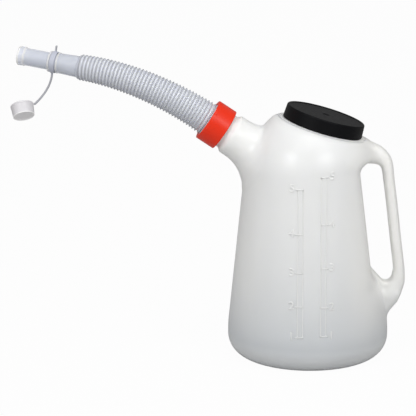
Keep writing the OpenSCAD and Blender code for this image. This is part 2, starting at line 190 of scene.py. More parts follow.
def handle_field(x, y, z):
    """Distance from the handle's flat oval sections, swept along its middle line."""
    near = x > handle_from
    value = np.full(x.shape, far_away)
    px, py, pz = x[near], y[near], z[near]
    at = nearest((px, pz), handle_line)
    here, run = handle_line[at], handle_run[at]
    dx, dz = px - here[:, 0], pz - here[:, 1]
    ahead = dx * run[:, 0] + dz * run[:, 1]
    step = np.gradient(handle_line[:, 2:], axis=0)[at]
    spacing = np.linalg.norm(np.gradient(handle_line[:, :2], axis=0), axis=1)[at]
    thick, wide = (here[:, 2:] + step * np.clip(ahead / spacing, -1, 1)[:, None]).T
    off = np.abs(dz * run[:, 0] - dx * run[:, 1])
    power = handle_power
    oval = ((off / thick) ** power + (np.abs(py) / wide) ** power) ** (1 / power) - 1
    value[near] = np.maximum(oval * np.minimum(thick, wide), past_ends(at, ahead, handle_line))
    return value


def handle_web(x, y, z):
    """The corner at the foot of the grip, filled up to a slope that runs into a round bottom."""
    hollow = web_r - np.hypot(x - web_middle[0], z - web_middle[1])
    slope = (x + z - sum(web_middle)) / math.sqrt(2) + web_r
    bottom = np.maximum(hollow, z - web_middle[1])
    top = np.where(x < web_middle[0] - web_r / math.sqrt(2), slope, bottom)
    low = (web_low[1] + (x - web_low[0]) * web_low_slope - z) * web_low_share
    right = x - web_right[0] - (z - web_right[1]) * web_right_lean
    flat = np.maximum.reduce([top, web_left - x, low, right])
    return soft_max(flat, np.abs(y) - web_half, 4)


def jug_field(x, y, z):
    """The whole moulding. How softly two forms meet changes with the height."""
    gap_ease = 8 + 14 * smooth_step(104, 86, z)
    spout_ease = 8 - 5 * smooth_step(248, 272, z)
    handle_ease = 4 + 5 * smooth_step(110, 200, z)
    web_ease = 4 + 8 * smooth_step(86, 74, z)
    form = soft_max(round_field(x, y, z), -hand_room(x, z), gap_ease)
    form = soft_min(form, spout_root(x, y, z), spout_ease)
    form = soft_min(form, handle_field(x, y, z), handle_ease)
    form = soft_min(form, handle_web(x, y, z), web_ease)
    up, off = along_and_off(x, y, z, brim_at, brim_tilt)
    neck = np.maximum.reduce([off - filler_neck_r, up - filler_neck_end - 6, -12 - up])
    return soft_min(form, neck, 1.5)


def on_surface(field, points, rounds=3):
    """Moves points straight to where the field is zero."""
    reach = 0.05
    for _ in range(rounds):
        x, y, z = points.T
        value = field(x, y, z)
        slope = np.stack([field(x + reach, y, z) - field(x - reach, y, z),
                          field(x, y + reach, z) - field(x, y - reach, z),
                          field(x, y, z + reach) - field(x, y, z - reach)], 1) / (2 * reach)
        size = np.maximum((slope ** 2).sum(1), 0.05)
        points = points - slope * np.clip(value / size, -2, 2)[:, None]
    return points


def skin_of(field, low, high, step):
    """Points and faces of the surface where the field is zero: one point in each cell it cuts."""
    axes = [np.arange(a, b + step, step) for a, b in zip(low, high)]
    x, y, z = np.meshgrid(*axes, indexing="ij")
    inside = field(x.ravel(), y.ravel(), z.ravel()).reshape(x.shape) < 0
    n = np.array(inside.shape) - 1
    corners = sum(inside[i:n[0] + i, j:n[1] + j, k:n[2] + k].astype(int)
                  for i, j, k in product((0, 1), repeat=3))
    cut = (corners > 0) & (corners < 8)
    number = np.full(cut.shape, -1)
    number[cut] = np.arange(cut.sum())
    points = (np.argwhere(cut) + 0.5) * step + np.array(low, float)
    faces = []
    for axis in range(3):
        a, b = (axis + 1) % 3, (axis + 2) % 3
        here = np.moveaxis(inside, (axis, a, b), (0, 1, 2))
        cells = np.moveaxis(number, (axis, a, b), (0, 1, 2))
        change = here[:-1, 1:-1, 1:-1] != here[1:, 1:-1, 1:-1]
        i, j, k = np.argwhere(change).T
        quad = np.stack([cells[i, j, k], cells[i, j + 1, k],
                         cells[i, j + 1, k + 1], cells[i, j, k + 1]], 1)
        outward = here[i, j + 1, k + 1]
        faces.append(np.where(outward[:, None], quad, quad[:, ::-1]))
    faces = np.vstack(faces)
    edges = np.vstack([faces[:, [0, 1]], faces[:, [1, 2]], faces[:, [2, 3]], faces[:, [3, 0]]])
    points = on_surface(field, points, 4)
    for _ in range(3):
        total, count = np.zeros_like(points), np.zeros(len(points))
        for a, b in (edges.T, edges.T[::-1]):
            np.add.at(total, a, points[b])
            np.add.at(count, a, 1)
        points = on_surface(field, points + 0.6 * (total / count[:, None] - points), 2)
    return points, faces


def linked(name, data):
    """A new object in the scene."""
    made = bpy.data.objects.new(name, data)
    bpy.context.scene.collection.objects.link(made)
    return made


def final_mesh(made):
    """An object's mesh as its modifiers leave it."""
    evaluated = made.evaluated_get(bpy.context.evaluated_depsgraph_get())
    return bpy.data.meshes.new_from_object(evaluated)


def piece(name, points, faces, material, smooth=True):
    """A new object from points in millimetres. It sits at the origin, its place is in its mesh."""
    mesh = bpy.data.meshes.new(name)
    mesh.from_pydata((np.asarray(points, float) * MM).tolist(), [], [list(map(int, f)) for f in faces])
    mesh.polygons.foreach_set("use_smooth", [smooth] * len(mesh.polygons))
    mesh.materials.append(material)
    return linked(name, mesh)


def cut_off(made, at, direction):
    """Takes away what lies beyond a plane, given in millimetres, and leaves the end open."""
    shape = bmesh.new()
    shape.from_mesh(made.data)
    parts = shape.verts[:] + shape.edges[:] + shape.faces[:]
    bmesh.ops.bisect_plane(shape, geom=parts, plane_co=Vector(at) * MM, plane_no=direction,
                           clear_outer=True)
    shape.to_mesh(made.data)
    shape.free()


def thicken(made, thickness):
    """Gives an open skin its wall, on the inside."""
    wall_of = made.modifiers.new("wall", "SOLIDIFY")
    wall_of.thickness = thickness * MM
    wall_of.offset = -1
    walled = final_mesh(made)
    made.modifiers.clear()
    made.data = walled


class Wire:
    """The output of a node. Arithmetic on it adds Math nodes to its tree."""

    def __init__(self, board, socket):
        self.board, self.socket = board, socket

    def math(self, operation, *values):
        return self.board.node("ShaderNodeMath", {"operation": operation}, dict(enumerate(values)))

    def __add__(self, other):
        return self.math("ADD", self, other)

    def __radd__(self, other):
        return self.math("ADD", other, self)

    def __sub__(self, other):
        return self.math("SUBTRACT", self, other)

    def __rsub__(self, other):
        return self.math("SUBTRACT", other, self)

    def __mul__(self, other):
        return self.math("MULTIPLY", self, other)

    def __pow__(self, other):
        return self.math("POWER", self, other)

    def __abs__(self):
        return self.math("ABSOLUTE", self)


class Board:
    """A tree of nodes, for a material or for geometry."""

    def __init__(self, tree):
        self.tree = tree

    def node(self, kind, settings=None, values=None, output=0):
        """A node: its settings first, then the values or links of its sockets."""
        made = self.tree.nodes.new(kind)
        for name, value in (settings or {}).items():
            setattr(made, name, value)
        for key, value in (values or {}).items():
            if isinstance(value, Wire):
                self.tree.links.new(value.socket, made.inputs[key])
            else:
                made.inputs[key].default_value = value
        return Wire(self, made.outputs[output]) if made.outputs else made

    def place(self):
        """Object coordinates, in metres."""
        return self.node("ShaderNodeTexCoord", output="Object")

    def split(self):
        """The three object coordinates, a wire each."""
        spot = self.node("ShaderNodeSeparateXYZ", {}, {"Vector": self.place()})
        return [Wire(self, socket) for socket in spot.socket.node.outputs]

    def vector(self, operation, *values, output=0):
        values = dict(enumerate(values))
        return self.node("ShaderNodeVectorMath", {"operation": operation}, values, output)

    def away(self, at):
        """The way to the surface from a place given in millimetres."""
        return self.vector("SUBTRACT", self.place(), tuple(at * MM))

    def noise(self, scale, detail=2.0, rough=0.5):
        return self.node("ShaderNodeTexNoise", {}, {
            "Vector": self.place(), "Scale": scale, "Detail": detail, "Roughness": rough})

    def ramp(self, value, start, end, first=0.0, last=1.0, kind="SMOOTHSTEP"):
        """Runs from first to last while the value runs from start to end."""
        return self.node("ShaderNodeMapRange", {"interpolation_type": kind},
                         {0: value, 1: start, 2: end, 3: first, 4: last})

    def tint(self, share, dark, pale):
        """A colour between two, each a wire or red, green and blue, by a share from 0 to 1."""
        dark, pale = (c if isinstance(c, Wire) else (*c, 1) for c in (dark, pale))
        return self.node("ShaderNodeMix", {"data_type": "RGBA"}, {"Factor": share, 6: dark, 7: pale}, 2)


def empty_board(holder):
    """The cleared node tree of a material or of the world."""
    holder.use_nodes = True
    holder.node_tree.nodes.clear()
    return Board(holder.node_tree)


def moulded(name, colour, rough, height, **numbers):
    """A plastic. Colour, roughness and height are functions of its board, the rest are settings."""
    material = bpy.data.materials.new(name)
    board = empty_board(material)
    bump = board.node("ShaderNodeBump", {}, {"Strength": 1.0, "Distance": 1.0, "Height": height(board)})
    values = {"Base Color": colour(board), "Roughness": rough(board), "Normal": bump}
    for key, value in numbers.items():
        values[key.replace("_", " ")] = value(board) if callable(value) else value
    shader = board.node("ShaderNodeBsdfPrincipled", {}, values)
    board.node("ShaderNodeOutputMaterial", {}, {"Surface": shader})
    return material


def grain(size, depth):
    """The height of a fine grain, as a function for moulded."""
    return lambda board: board.noise(size, 3.0) * depth


def brim_groove(board):
    """One on a fine groove round the brim, just outside the filler cap."""
    out = board.away(brim_at)
    off = board.vector("LENGTH", board.vector("CROSS_PRODUCT", out, brim_up), output="Value")
    far = board.vector("LENGTH", out, output="Value")
    line = board.ramp(abs(off - brim_groove_r * MM), 0.0, brim_groove_half * MM, 1.0, 0.0)
    return line * far.math("LESS_THAN", far, brim_edge_r * MM)


def milky_colour_and_painted_light(board):
    """Bluish grey painted shade low down, painted light at the foot, spout flank and handle, faint
    clouds.
    """
    x, _, z = board.split()
    # Painted shade darkens the lower body, and painted light pales its foot again.
    below = board.ramp(z, 0.03, 0.2, 1.0, 0.0, "LINEAR")
    foot = board.ramp(z, 0.032, 0.014, 0.0, 0.35)
    # The clouds are the plastic's own; the brim's groove is darkened with painted shade.
    clouds = (board.noise(9.0, 3.0) - 0.5) * 0.25 - brim_groove(board) * 0.9
    plain = board.tint(1 - below * below + foot + clouds, (0.58, 0.603, 0.625), (0.84, 0.847, 0.85))
    # Painted light pales the spout's flank and the handle, less towards the bottom.
    flank = board.ramp(x, -0.045, -0.085, 0.0, 0.45)
    handle = board.ramp(x, 0.03, 0.075)
    high = board.ramp(z, 0.02, 0.13, 0.1)
    return board.tint((flank + handle) * high, plain, (0.96, 0.955, 0.93))


def milky_height(board):
    """The fine line where the two halves of the mould meet, over slow waves and a fine skin."""
    _, y, _ = board.split()
    line = board.ramp(abs(y), 0.0, 0.0009, 1.0, 0.0)
    waves = board.noise(22.0, 1.0) * 0.0006 + board.noise(900.0, 2.0) * 0.00001
    return line * 0.00012 + waves - brim_groove(board) * 0.0006


milky = moulded("milky_polyethylene", milky_colour_and_painted_light,
                lambda board: 0.27 + board.noise(30.0, 2.0) * 0.05, milky_height,
                Subsurface_Weight=0.35, Subsurface_Radius=(0.004, 0.004, 0.0045),
                Subsurface_Scale=1.0, IOR=1.5, Specular_IOR_Level=0.34)

points, faces = skin_of(jug_field, (-140, -102, -6), (122, 102, 308), 2.5)
jug_body = piece("jug_body_moulding", points, faces, milky)
cut_off(jug_body, brim_at + np.array(brim_up) * filler_neck_end, brim_up)
cut_off(jug_body, spout_at + np.array(spout_out) * spout_neck_end, spout_out)
thicken(jug_body, wall)
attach(jug_body, "jug")
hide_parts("jug_body")


# The two scales stand out of the front wall, cut into the mould: litres on the right, quarts on
# the left. Each is a ladder of two thin rails with a rung and a numeral at every full measure.
mark_h = 0.6
rail_x, rail_gap, rail_w = 10.4, 5.8, 1.5
rung_l, rung_w = 9.4, 1.6
numeral_x, numeral_size, numeral_up = 23.0, 12.5, 1.5
litre_marks = [47, 80, 125, 175, 229]
quart_marks = [45.5, 81, 119.5, 164, 215]


def front_of(x, z):
    """Y of the jug's front at a place given as seen from the front."""
    radius = shoulder_r + np.maximum(shoulder_z - z, 0) * math.tan(side_lean)
    y = -np.sqrt(radius ** 2 - x * x)
    for _ in range(5):
        value = jug_field(x, y, z)
        y = y - value / np.minimum((jug_field(x, y + 0.1, z) - value) / 0.1, -0.3)
    return y


def ridge(start, end, width):
    """A raised line on the front from one place to another, with eased edges, sunk at its foot."""
    start, end = np.array(start, float), np.array(end, float)
    steps = max(2, int(np.linalg.norm(end - start) / 3))
    run = (end - start) / np.linalg.norm(end - start)
    side = np.array([-run[1], run[0]])
    half = width / 2
    section = [(-half, -0.5)] + [(-half * math.cos(a), mark_h * (0.3 + 0.7 * math.sin(a)))
                                 for a in np.linspace(0, math.pi, 7)] + [(half, -0.5)]
    made = []
    for k in range(steps + 1):
        for off, out in section:
            x, z = start + (end - start) * k / steps + side * off
            made.append((x, out, z))
    n = len(section)
    sides = [(k * n + j, k * n + (j + 1) % n, (k + 1) * n + (j + 1) % n, (k + 1) * n + j)
             for k in range(steps) for j in range(n)]
    ends = [tuple(range(n)), tuple(range(steps * n, steps * n + n))[::-1]]
    return made, sides + ends


def numeral(text, x, z):
    """A plain numeral as a mesh of (x, out, z) points, its middle at the given place."""
    letters = bpy.data.curves.new("numeral", "FONT")
    letters.body, letters.size = text, numeral_size
    letters.extrude, letters.bevel_depth, letters.bevel_resolution = 0.4, 0.4, 1
    letters.align_x, letters.align_y = "CENTER", "CENTER"
    letters.offset = -0.1
    shown = linked("numeral", letters)
    mesh = final_mesh(shown)
    bpy.data.objects.remove(shown)
    spots = np.array([v.co for v in mesh.vertices])
    middle = (spots.max(0) + spots.min(0)) / 2
    made = [(x + p[0] - middle[0], p[2], z + p[1] - middle[1]) for p in spots]
    return made, [tuple(f.vertices) for f in mesh.polygons]


def marks_colour(board):
    # The marks carry the body's painted light and shade, part way to white by a random share.
    return board.tint(board.noise(60.0) * 0.3 + 0.25, milky_colour_and_painted_light(board), (0.94, 0.94, 0.92))


whiter = moulded("milky_marks", marks_colour,
                 lambda board: 0.2 + board.noise(200.0) * 0.08, grain(900.0, 0.00001),
                 Subsurface_Weight=0.35, Subsurface_Radius=(0.003, 0.003, 0.003),
                 Subsurface_Scale=1.0, IOR=1.5)
marks = []
for side, heights in ((1, litre_marks), (-1, quart_marks)):
    for x in (rail_x, rail_x + rail_gap):
        marks.append(ridge((side * x, heights[0]), (side * x, heights[-1]), rail_w))
    for count, z in enumerate(heights):
        inner = side * (rail_x - rail_w / 2)
        marks.append(ridge((inner, z), (inner + side * rung_l, z), rung_w))
        marks.append(numeral(str(count + 1), side * numeral_x, z + numeral_up))
spots, faces = [], []
for shape, sides in marks:
    faces += [tuple(len(spots) + v for v in f) for f in sides]
    spots += shape
x, out, z = np.array(spots).T
scale_marks = piece("scale_marks", np.stack([x, front_of(x, z) - out, z], 1), faces, whiter)
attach(scale_marks, "jug")


# Both necks carry a coarse right-handed screw thread, part of the same blow moulding. Its ridges are
# coils grown along a path, and the caps that turn on them carry coils of their own half a turn off.
ridge_r, spout_ridge_r = 1.1, 0.85
filler_pitch, spout_pitch = 6.0, 4.5
filler_thread_foot, spout_thread_foot = 2.2, -9.5


def stand(points, at, lean, swing=0):
    """Points on a piece's own upright axis, leant from +Z towards +X, swung about Z and moved."""
    turn = Matrix.Rotation(swing, 3, "Z") @ Matrix.Rotation(lean, 3, "Y")
    return np.asarray(points, float) @ np.array(turn).T + np.array(at, float)


def set_outward(made):
    """Merges doubles and turns every face of a closed piece outwards."""
    shape = bmesh.new()
    shape.from_mesh(made.data)
    bmesh.ops.remove_doubles(shape, verts=shape.verts, dist=1e-7)
    bmesh.ops.recalc_face_normals(shape, faces=shape.faces)
    shape.to_mesh(made.data)
    shape.free()


def joined(name, parts):
    """One object out of several, the first of which gives its materials."""
    shape = bmesh.new()
    for part in parts:
        shape.from_mesh(part.data)
    mesh = bpy.data.meshes.new(name)
    shape.to_mesh(mesh)
    shape.free()
    for material in parts[0].data.materials:
        mesh.materials.append(material)
    for part in parts:
        bpy.data.objects.remove(part)
    return linked(name, mesh)


def geometry_inputs(tree, sizes):
    """Named inputs for a geometry tree and their wires."""
    board = Board(tree)
    tree.interface.new_socket("Geometry", in_out="INPUT", socket_type="NodeSocketGeometry")
    for name, value in sizes.items():
        kind = "NodeSocketInt" if isinstance(value, int) else "NodeSocketFloat"
        tree.interface.new_socket(name, in_out="INPUT", socket_type=kind)
    tree.interface.new_socket("Geometry", in_out="OUTPUT", socket_type="NodeSocketGeometry")
    source = tree.nodes.new("NodeGroupInput")
    return board, {socket.name: Wire(board, socket) for socket in source.outputs if socket.name}


def grown(name, path, sizes, build, material):
    """A mesh that a geometry tree grows along a path of points, in metres."""
    tree = bpy.data.node_groups.new(name, "GeometryNodeTree")
    board, wires = geometry_inputs(tree, sizes)
    shape = build(board, wires)
    shape = board.node("GeometryNodeRealizeInstances", {}, {"Geometry": shape})
    shape = board.node("GeometryNodeSetMaterial", {}, {"Geometry": shape, "Material": material})
    target = tree.nodes.new("NodeGroupOutput")
    tree.links.new(shape.socket, target.inputs[0])
    carrier = bpy.data.meshes.new(name)
    links = [(k, k + 1) for k in range(len(path) - 1)]
    carrier.from_pydata((np.asarray(path) * MM).tolist(), links, [])
    holder = linked(name, carrier)
    growth = holder.modifiers.new("growth", "NODES")
    growth.node_group = tree
    for item in tree.interface.items_tree:
        if item.in_out == "INPUT" and item.name in sizes:
            growth[item.identifier] = sizes[item.name]
    mesh = final_mesh(holder)
    bpy.data.objects.remove(holder)
    return mesh


def swept(board, size, line, radius, closed=False):
    """A round section swept along a curve."""
    ring = board.node("GeometryNodeCurvePrimitiveCircle", {},
                      {"Resolution": size["Sides"], "Radius": 1.0})
    tube = board.node("GeometryNodeCurveToMesh", {}, {
        "Curve": line, "Profile Curve": ring, "Scale": radius, "Fill Caps": closed})
    return board.node("GeometryNodeSetShadeSmooth", {}, {"Geometry": tube})


def coil(board, size):
    """A round ridge along the path that dies away at both ends."""
    line = board.node("GeometryNodeMeshToCurve", {}, {"Mesh": size["Geometry"]})
    share = board.node("GeometryNodeSplineParameter")
    near_end = share.math("MINIMUM", share, 1 - share)
    full = board.ramp(near_end, 0.0, size["Run out"], 0.2)
    return swept(board, size, line, size["Radius"] * full, closed=True)


def thread(name, radius, start, end, pitch, thick, at, lean, phase, material):
    """A screw thread round an axis, from one height to another above its foot."""
    turns = (end - start) / pitch
    angles = np.linspace(0, turns * 2 * math.pi, int(turns * 72))
    path = np.stack([radius * np.cos(angles + phase), radius * np.sin(angles + phase),
                     start + angles * pitch / (2 * math.pi)], 1)
    sizes = {"Sides": 10, "Radius": thick * MM, "Run out": 0.06}
    made = linked(name, grown(name, stand(path, at, lean), sizes, coil, material))
    set_outward(made)
    return made


neck_threads = joined("neck_threads", [
    thread("filler_thread", filler_neck_r + 0.1, filler_thread_foot, 10.0, filler_pitch, ridge_r,
           brim_at, brim_tilt, 0, milky),
    thread("spout_thread", spout_neck_r + 0.25, spout_thread_foot, 4.0, spout_pitch, spout_ridge_r,
           spout_at, spout_lean, 0, milky)])
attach(neck_threads, "jug")


# The filler cap is one black moulding with a fine matt grain: a wide screw cap with a raised rim
# round its sunk top. It is screwed on the filler neck over a sealing disc of pale foam.
def eased(corners, steps=4):
    """A closed outline of (radius, height) points whose corners are arcs of their own size."""
    line = []
    for before, here, after in zip(corners[-1:] + corners[:-1], corners, corners[1:] + corners[:1]):
        spot, size = np.array(here[:2], float), here[2]
        if not size:
            line.append(spot)
            continue
        back, on = np.array(before[:2]) - spot, np.array(after[:2]) - spot
        back, on = back / np.linalg.norm(back), on / np.linalg.norm(on)
        half = math.acos(np.clip(back @ on, -1, 1)) / 2
        reach = size / math.tan(half)
        middle = spot + (back + on) / np.linalg.norm(back + on) * size / math.sin(half)
        first, last = spot + back * reach - middle, spot + on * reach - middle
        turn = math.pi - 2 * half
        line.append(spot + back * reach * 1.2)
        for k in range(steps + 1):
            share = k / steps
            line.append(middle + (first * math.sin((1 - share) * turn) + last * math.sin(share * turn))
                        / math.sin(turn))
        line.append(spot + on * reach * 1.2)
    return line


def turned(outline, sides=160):
    """Points and faces of a closed outline of (radius, height) points, turned about its axis."""
    angles = np.arange(sides) * 2 * math.pi / sides
    points, rings = [], []
    for r, h in outline:
        if r < 1e-6:
            rings.append([len(points)] * sides)
            points.append((0, 0, h))
        else:
            rings.append(list(range(len(points), len(points) + sides)))
            points += [(r * math.cos(a), r * math.sin(a), h) for a in angles]
    faces = []
    for below, above in zip(rings, rings[1:] + rings[:1]):
        for j in range(sides):
            k = (j + 1) % sides
            face = list(dict.fromkeys([below[j], below[k], above[k], above[j]]))
            if len(face) > 2:
                faces.append(face)
    return points, faces


cap_r, cap_h, cap_skirt, cap_top = 47.5, 15.8, 2, 2.2
cap_dish, cap_rim, cap_draft, cap_gap = 0.8, 3.5, 1, 0.4
cap_bore = cap_r - cap_skirt
dish_r = cap_r - cap_draft - cap_rim
dish_z, mark_z = cap_h - cap_dish, cap_h - cap_dish + 0.4


def black_colour(board):
    """Near black, greyer where handling has polished the top."""
    worn = board.noise(35.0, 4.0, 0.6)
    return board.tint(worn, (0.001, 0.0011, 0.0015), (0.0028, 0.003, 0.004))


black = moulded("black_cap_plastic", black_colour, lambda board: 0.42 + board.noise(300.0, 2.0) * 0.16,
                grain(2600.0, 0.00004), IOR=1.5, Specular_IOR_Level=0.12)
cap_outline = eased([
    (cap_bore, 0, 0.3), (cap_r, 0, 0.6), (cap_r - cap_draft, cap_h, 1.5),
    (dish_r, cap_h, 0.7), (dish_r - 0.8, dish_z, 0.5), (4.2, dish_z, 0.1), (4.0, mark_z, 0.1),
    (3.2, mark_z, 0.1), (3.0, dish_z, 0.1), (1.2, dish_z, 0.1), (0.9, mark_z, 0.2), (0, mark_z, 0),
    (0, dish_z - cap_top, 0), (cap_bore, dish_z - cap_top, 0.8)])
points, faces = turned(cap_outline)
points = np.array(points) + (0, 0, cap_gap)
cap_shell = piece("cap_shell", stand(points, brim_at, brim_tilt), faces, black)
set_outward(cap_shell)
cap_thread = thread("cap_thread", cap_bore - 0.1, filler_thread_foot, 10.2, filler_pitch, ridge_r,
                    brim_at, brim_tilt, math.pi, black)
filler_cap = joined("filler_cap_moulding", [cap_shell, cap_thread])
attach(filler_cap, "filler_cap")
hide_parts("filler_cap")


def foam_colour(board):
    return board.tint(board.noise(1500.0, 2.0), (0.62, 0.61, 0.58), (0.8, 0.79, 0.76))


foam = moulded("seal_foam", foam_colour, lambda board: 0.8 + board.noise(400.0) * 0.1,
               grain(2500.0, 0.0001), IOR=1.45)


def dress(node, material):
    """Gives a piece of the source's own its material."""
    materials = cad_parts[node].data.materials
    materials.clear()
    materials.append(material)


dress("filler_cap_seal", foam)


# The collar is one glossy orange-red moulding, a screw ring with eight small nibs. Its turned-in
# end presses the flange of the flexible spout on to a grey rubber gasket and the spout neck.
collar_r, collar_half, collar_wall, collar_lip, collar_hole = 25.2, 11.65, 2.1, 2, 20.2
nibs, nib_first, nib_z = 8, -59, 9.4
nib_l, nib_w, nib_h = 1.3, 0.6, 0.4


def red_colour(board):
    return board.tint(board.noise(25.0, 3.0), (0.74, 0.02, 0.001), (0.84, 0.032, 0.002))


red = moulded("red_collar_plastic", red_colour, lambda board: 0.34 + board.noise(150.0, 2.0) * 0.1,
              grain(500.0, 0.00005), IOR=1.5, Specular_IOR_Level=0.36)
collar_outline = eased([
    (collar_r - collar_wall, -collar_half, 0.4), (collar_r, -collar_half, 0.7),
    (collar_r, collar_half, 0.8), (collar_hole, collar_half, 0.5),
    (collar_hole, collar_half - collar_lip, 0.4),
    (collar_r - collar_wall, collar_half - collar_lip, 0.4)])
points, faces = turned(collar_outline, 120)
collar_shell = piece("collar_shell", stand(points, spout_at, spout_lean), faces, red)
set_outward(collar_shell)
ball, faces = turned([(math.sin(a), -math.cos(a)) for a in np.linspace(0, math.pi, 9)], 12)
collar_parts = [collar_shell]
for k in range(nibs):
    points = np.array(ball) * (nib_h, nib_w, nib_l) + (collar_r, 0, nib_z)
    angle = math.radians(nib_first + 360 * k / nibs)
    points = points @ np.array(Matrix.Rotation(angle, 3, "Z")).T
    nib = piece("collar_nib", stand(points, spout_at, spout_lean), faces, red)
    set_outward(nib)
    collar_parts.append(nib)
collar_parts.append(thread("collar_thread", collar_r - collar_wall - 0.25, spout_thread_foot, 4.5,
                           spout_pitch, spout_ridge_r, spout_at, spout_lean, math.pi, red))
collar = joined("collar_ring", collar_parts)
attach(collar, "collar")
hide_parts("spout_collar")


def rubber_colour(board):
    return board.tint(board.noise(300.0, 3.0), (0.05, 0.05, 0.055), (0.1, 0.1, 0.105))


rubber = moulded("gasket_rubber", rubber_colour, lambda board: 0.6 + board.noise(500.0) * 0.15,
                 grain(1500.0, 0.00004), IOR=1.5)
dress("spout_gasket", rubber)


# The flexible spout is one soft moulding in cloudy grey plastic: a flange under the collar, a hose
# of fine ribs that bends, and a smooth nozzle with two beads, a pouring tube and a thicker lip.
# The ribs are grown along the hose's line, deeper at its root than at its tip.
rib_count, rib_pitch, rib_depth, tip_depth = 40, 4.05, 2.0, 0.9
hose_root_r, hose_tip_r, hose_wall = 19.9, 15.0, 1.3
rise_start, rise_end, hose_swing = 33.7, 6.2, 14.0
nozzle_rise = 8.5
nozzle_lean, nozzle_turn = math.radians(nozzle_rise - 90), math.radians(-hose_swing)
sleeve_r, sleeve_l = 12.5, 25.5
groove_w, groove_r, bead_w, bead_h = 7.6, 11.0, 2.4, 1.3
tube_r, tube_l, lip_r, lip_l = 10.2, 28.5, 11.1, 9.0
flange_r, flange_top, flange_t = 22.8, 9.6, 2.0
groove_z = sleeve_l + bead_w
tube_z = groove_z + groove_w + bead_w
lip_z = tube_z + tube_l
nozzle_l = lip_z + lip_l
hose_len = rib_count * rib_pitch
line_steps = 2 * rib_count


def heading(share):
    """The hose's direction at a share of its length, as the source turns it."""
    rise = math.radians(rise_start + (rise_end - rise_start) * share * (3 + share) / 4)
    swing = math.radians(hose_swing * share)
    flat = math.cos(rise)
    return np.array([-flat * math.cos(swing), flat * math.sin(swing), math.sin(rise)])


hose_line = [spout_at + np.array(spout_out) * collar_half]
for k in range(line_steps):
    hose_line.append(hose_line[-1] + heading((k + 0.5) / line_steps) * hose_len / line_steps)
hose_line = np.array(hose_line)


def ribbed_tube(board, size):
    """Rings along the path whose radius swells at each rib and narrows towards the far end."""
    line = board.node("GeometryNodeMeshToCurve", {}, {"Mesh": size["Geometry"]})
    count = size["Ribs"] * size["Rings per rib"] + 1
    line = board.node("GeometryNodeResampleCurve", {"mode": "COUNT"}, {"Curve": line, "Count": count})
    share = board.node("GeometryNodeSplineParameter")
    wave = abs(share.math("SINE", share * size["Ribs"] * math.pi))
    crest = wave ** (size["Sharpness"] * (1 - share * 0.5))
    # The stored crest share is painted shade along the rib crests, heavier towards the tip.
    for name, value in (("crest", crest * (0.75 + share * 0.5)), ("hose", share * 0 + 1)):
        line = board.node("GeometryNodeStoreNamedAttribute", {"data_type": "FLOAT", "domain": "POINT"},
                          {"Geometry": line, "Name": name, "Value": value})
    depth = size["Root depth"] + (size["Tip depth"] - size["Root depth"]) * share
    radius = size["Root radius"] + (size["Tip radius"] - size["Root radius"]) * share
    return swept(board, size, line, radius - depth * (1 - crest))


def kept(board, name):
    """What the geometry tree stored under that name. It is zero on the smooth ends."""
    return board.node("ShaderNodeAttribute", {"attribute_name": name}, output="Fac")


def run_of(board, start, lean, swing):
    """How far the surface lies from a place along a piece's own axis, in metres."""
    axis = stand([(0, 0, 1)], (0, 0, 0), lean, swing)[0]
    return board.vector("DOT_PRODUCT", board.away(start), tuple(axis), output="Value")


def rims(board):
    """One on the two beads and on the lip, whose thick plastic looks whiter."""
    along = run_of(board, hose_line[-1], nozzle_lean, nozzle_turn)
    share = 0
    for middle in (sleeve_l + bead_w / 2, groove_z + groove_w + bead_w / 2, lip_z + 1, nozzle_l - 1):
        share = board.ramp(abs(along - middle * MM), 0.0007, 0.0018, 1.0, 0.0) + share
    return share * (1 - kept(board, "hose"))


def cloudy_colour_and_painted_shade(board):
    """Pale with faint clouds, painted shade along the thin crests of the ribs, bluish in the nozzle."""
    clouds = board.tint(board.noise(14.0, 3.0), (0.76, 0.79, 0.88), (0.84, 0.87, 0.94))
    smooth = board.tint(rims(board), (0.71, 0.74, 0.83), (0.93, 0.93, 0.93))
    plain = board.tint(kept(board, "hose"), smooth, clouds)
    # Painted shade darkens the rib crests.
    return board.tint(kept(board, "crest"), plain, (0.43, 0.44, 0.48))


cloudy = moulded("cloudy_hose_plastic", cloudy_colour_and_painted_shade,
                 lambda board: 0.36 + board.noise(80.0, 2.0) * 0.12, grain(120.0, 0.00003),
                 Subsurface_Weight=0.4, Subsurface_Radius=(0.003, 0.003, 0.0035), Subsurface_Scale=1.0,
                 IOR=1.48, Alpha=lambda board: 0.62 + kept(board, "hose") * 0.26)
hose_sizes = {"Ribs": rib_count, "Rings per rib": 12, "Sides": 56, "Sharpness": 5.0,
              "Root radius": hose_root_r * MM, "Tip radius": hose_tip_r * MM,
              "Root depth": rib_depth * MM, "Tip depth": tip_depth * MM}
hose_skin = linked("hose_skin", grown("hose_ribs", hose_line, hose_sizes, ribbed_tube, cloudy))
thicken(hose_skin, hose_wall)

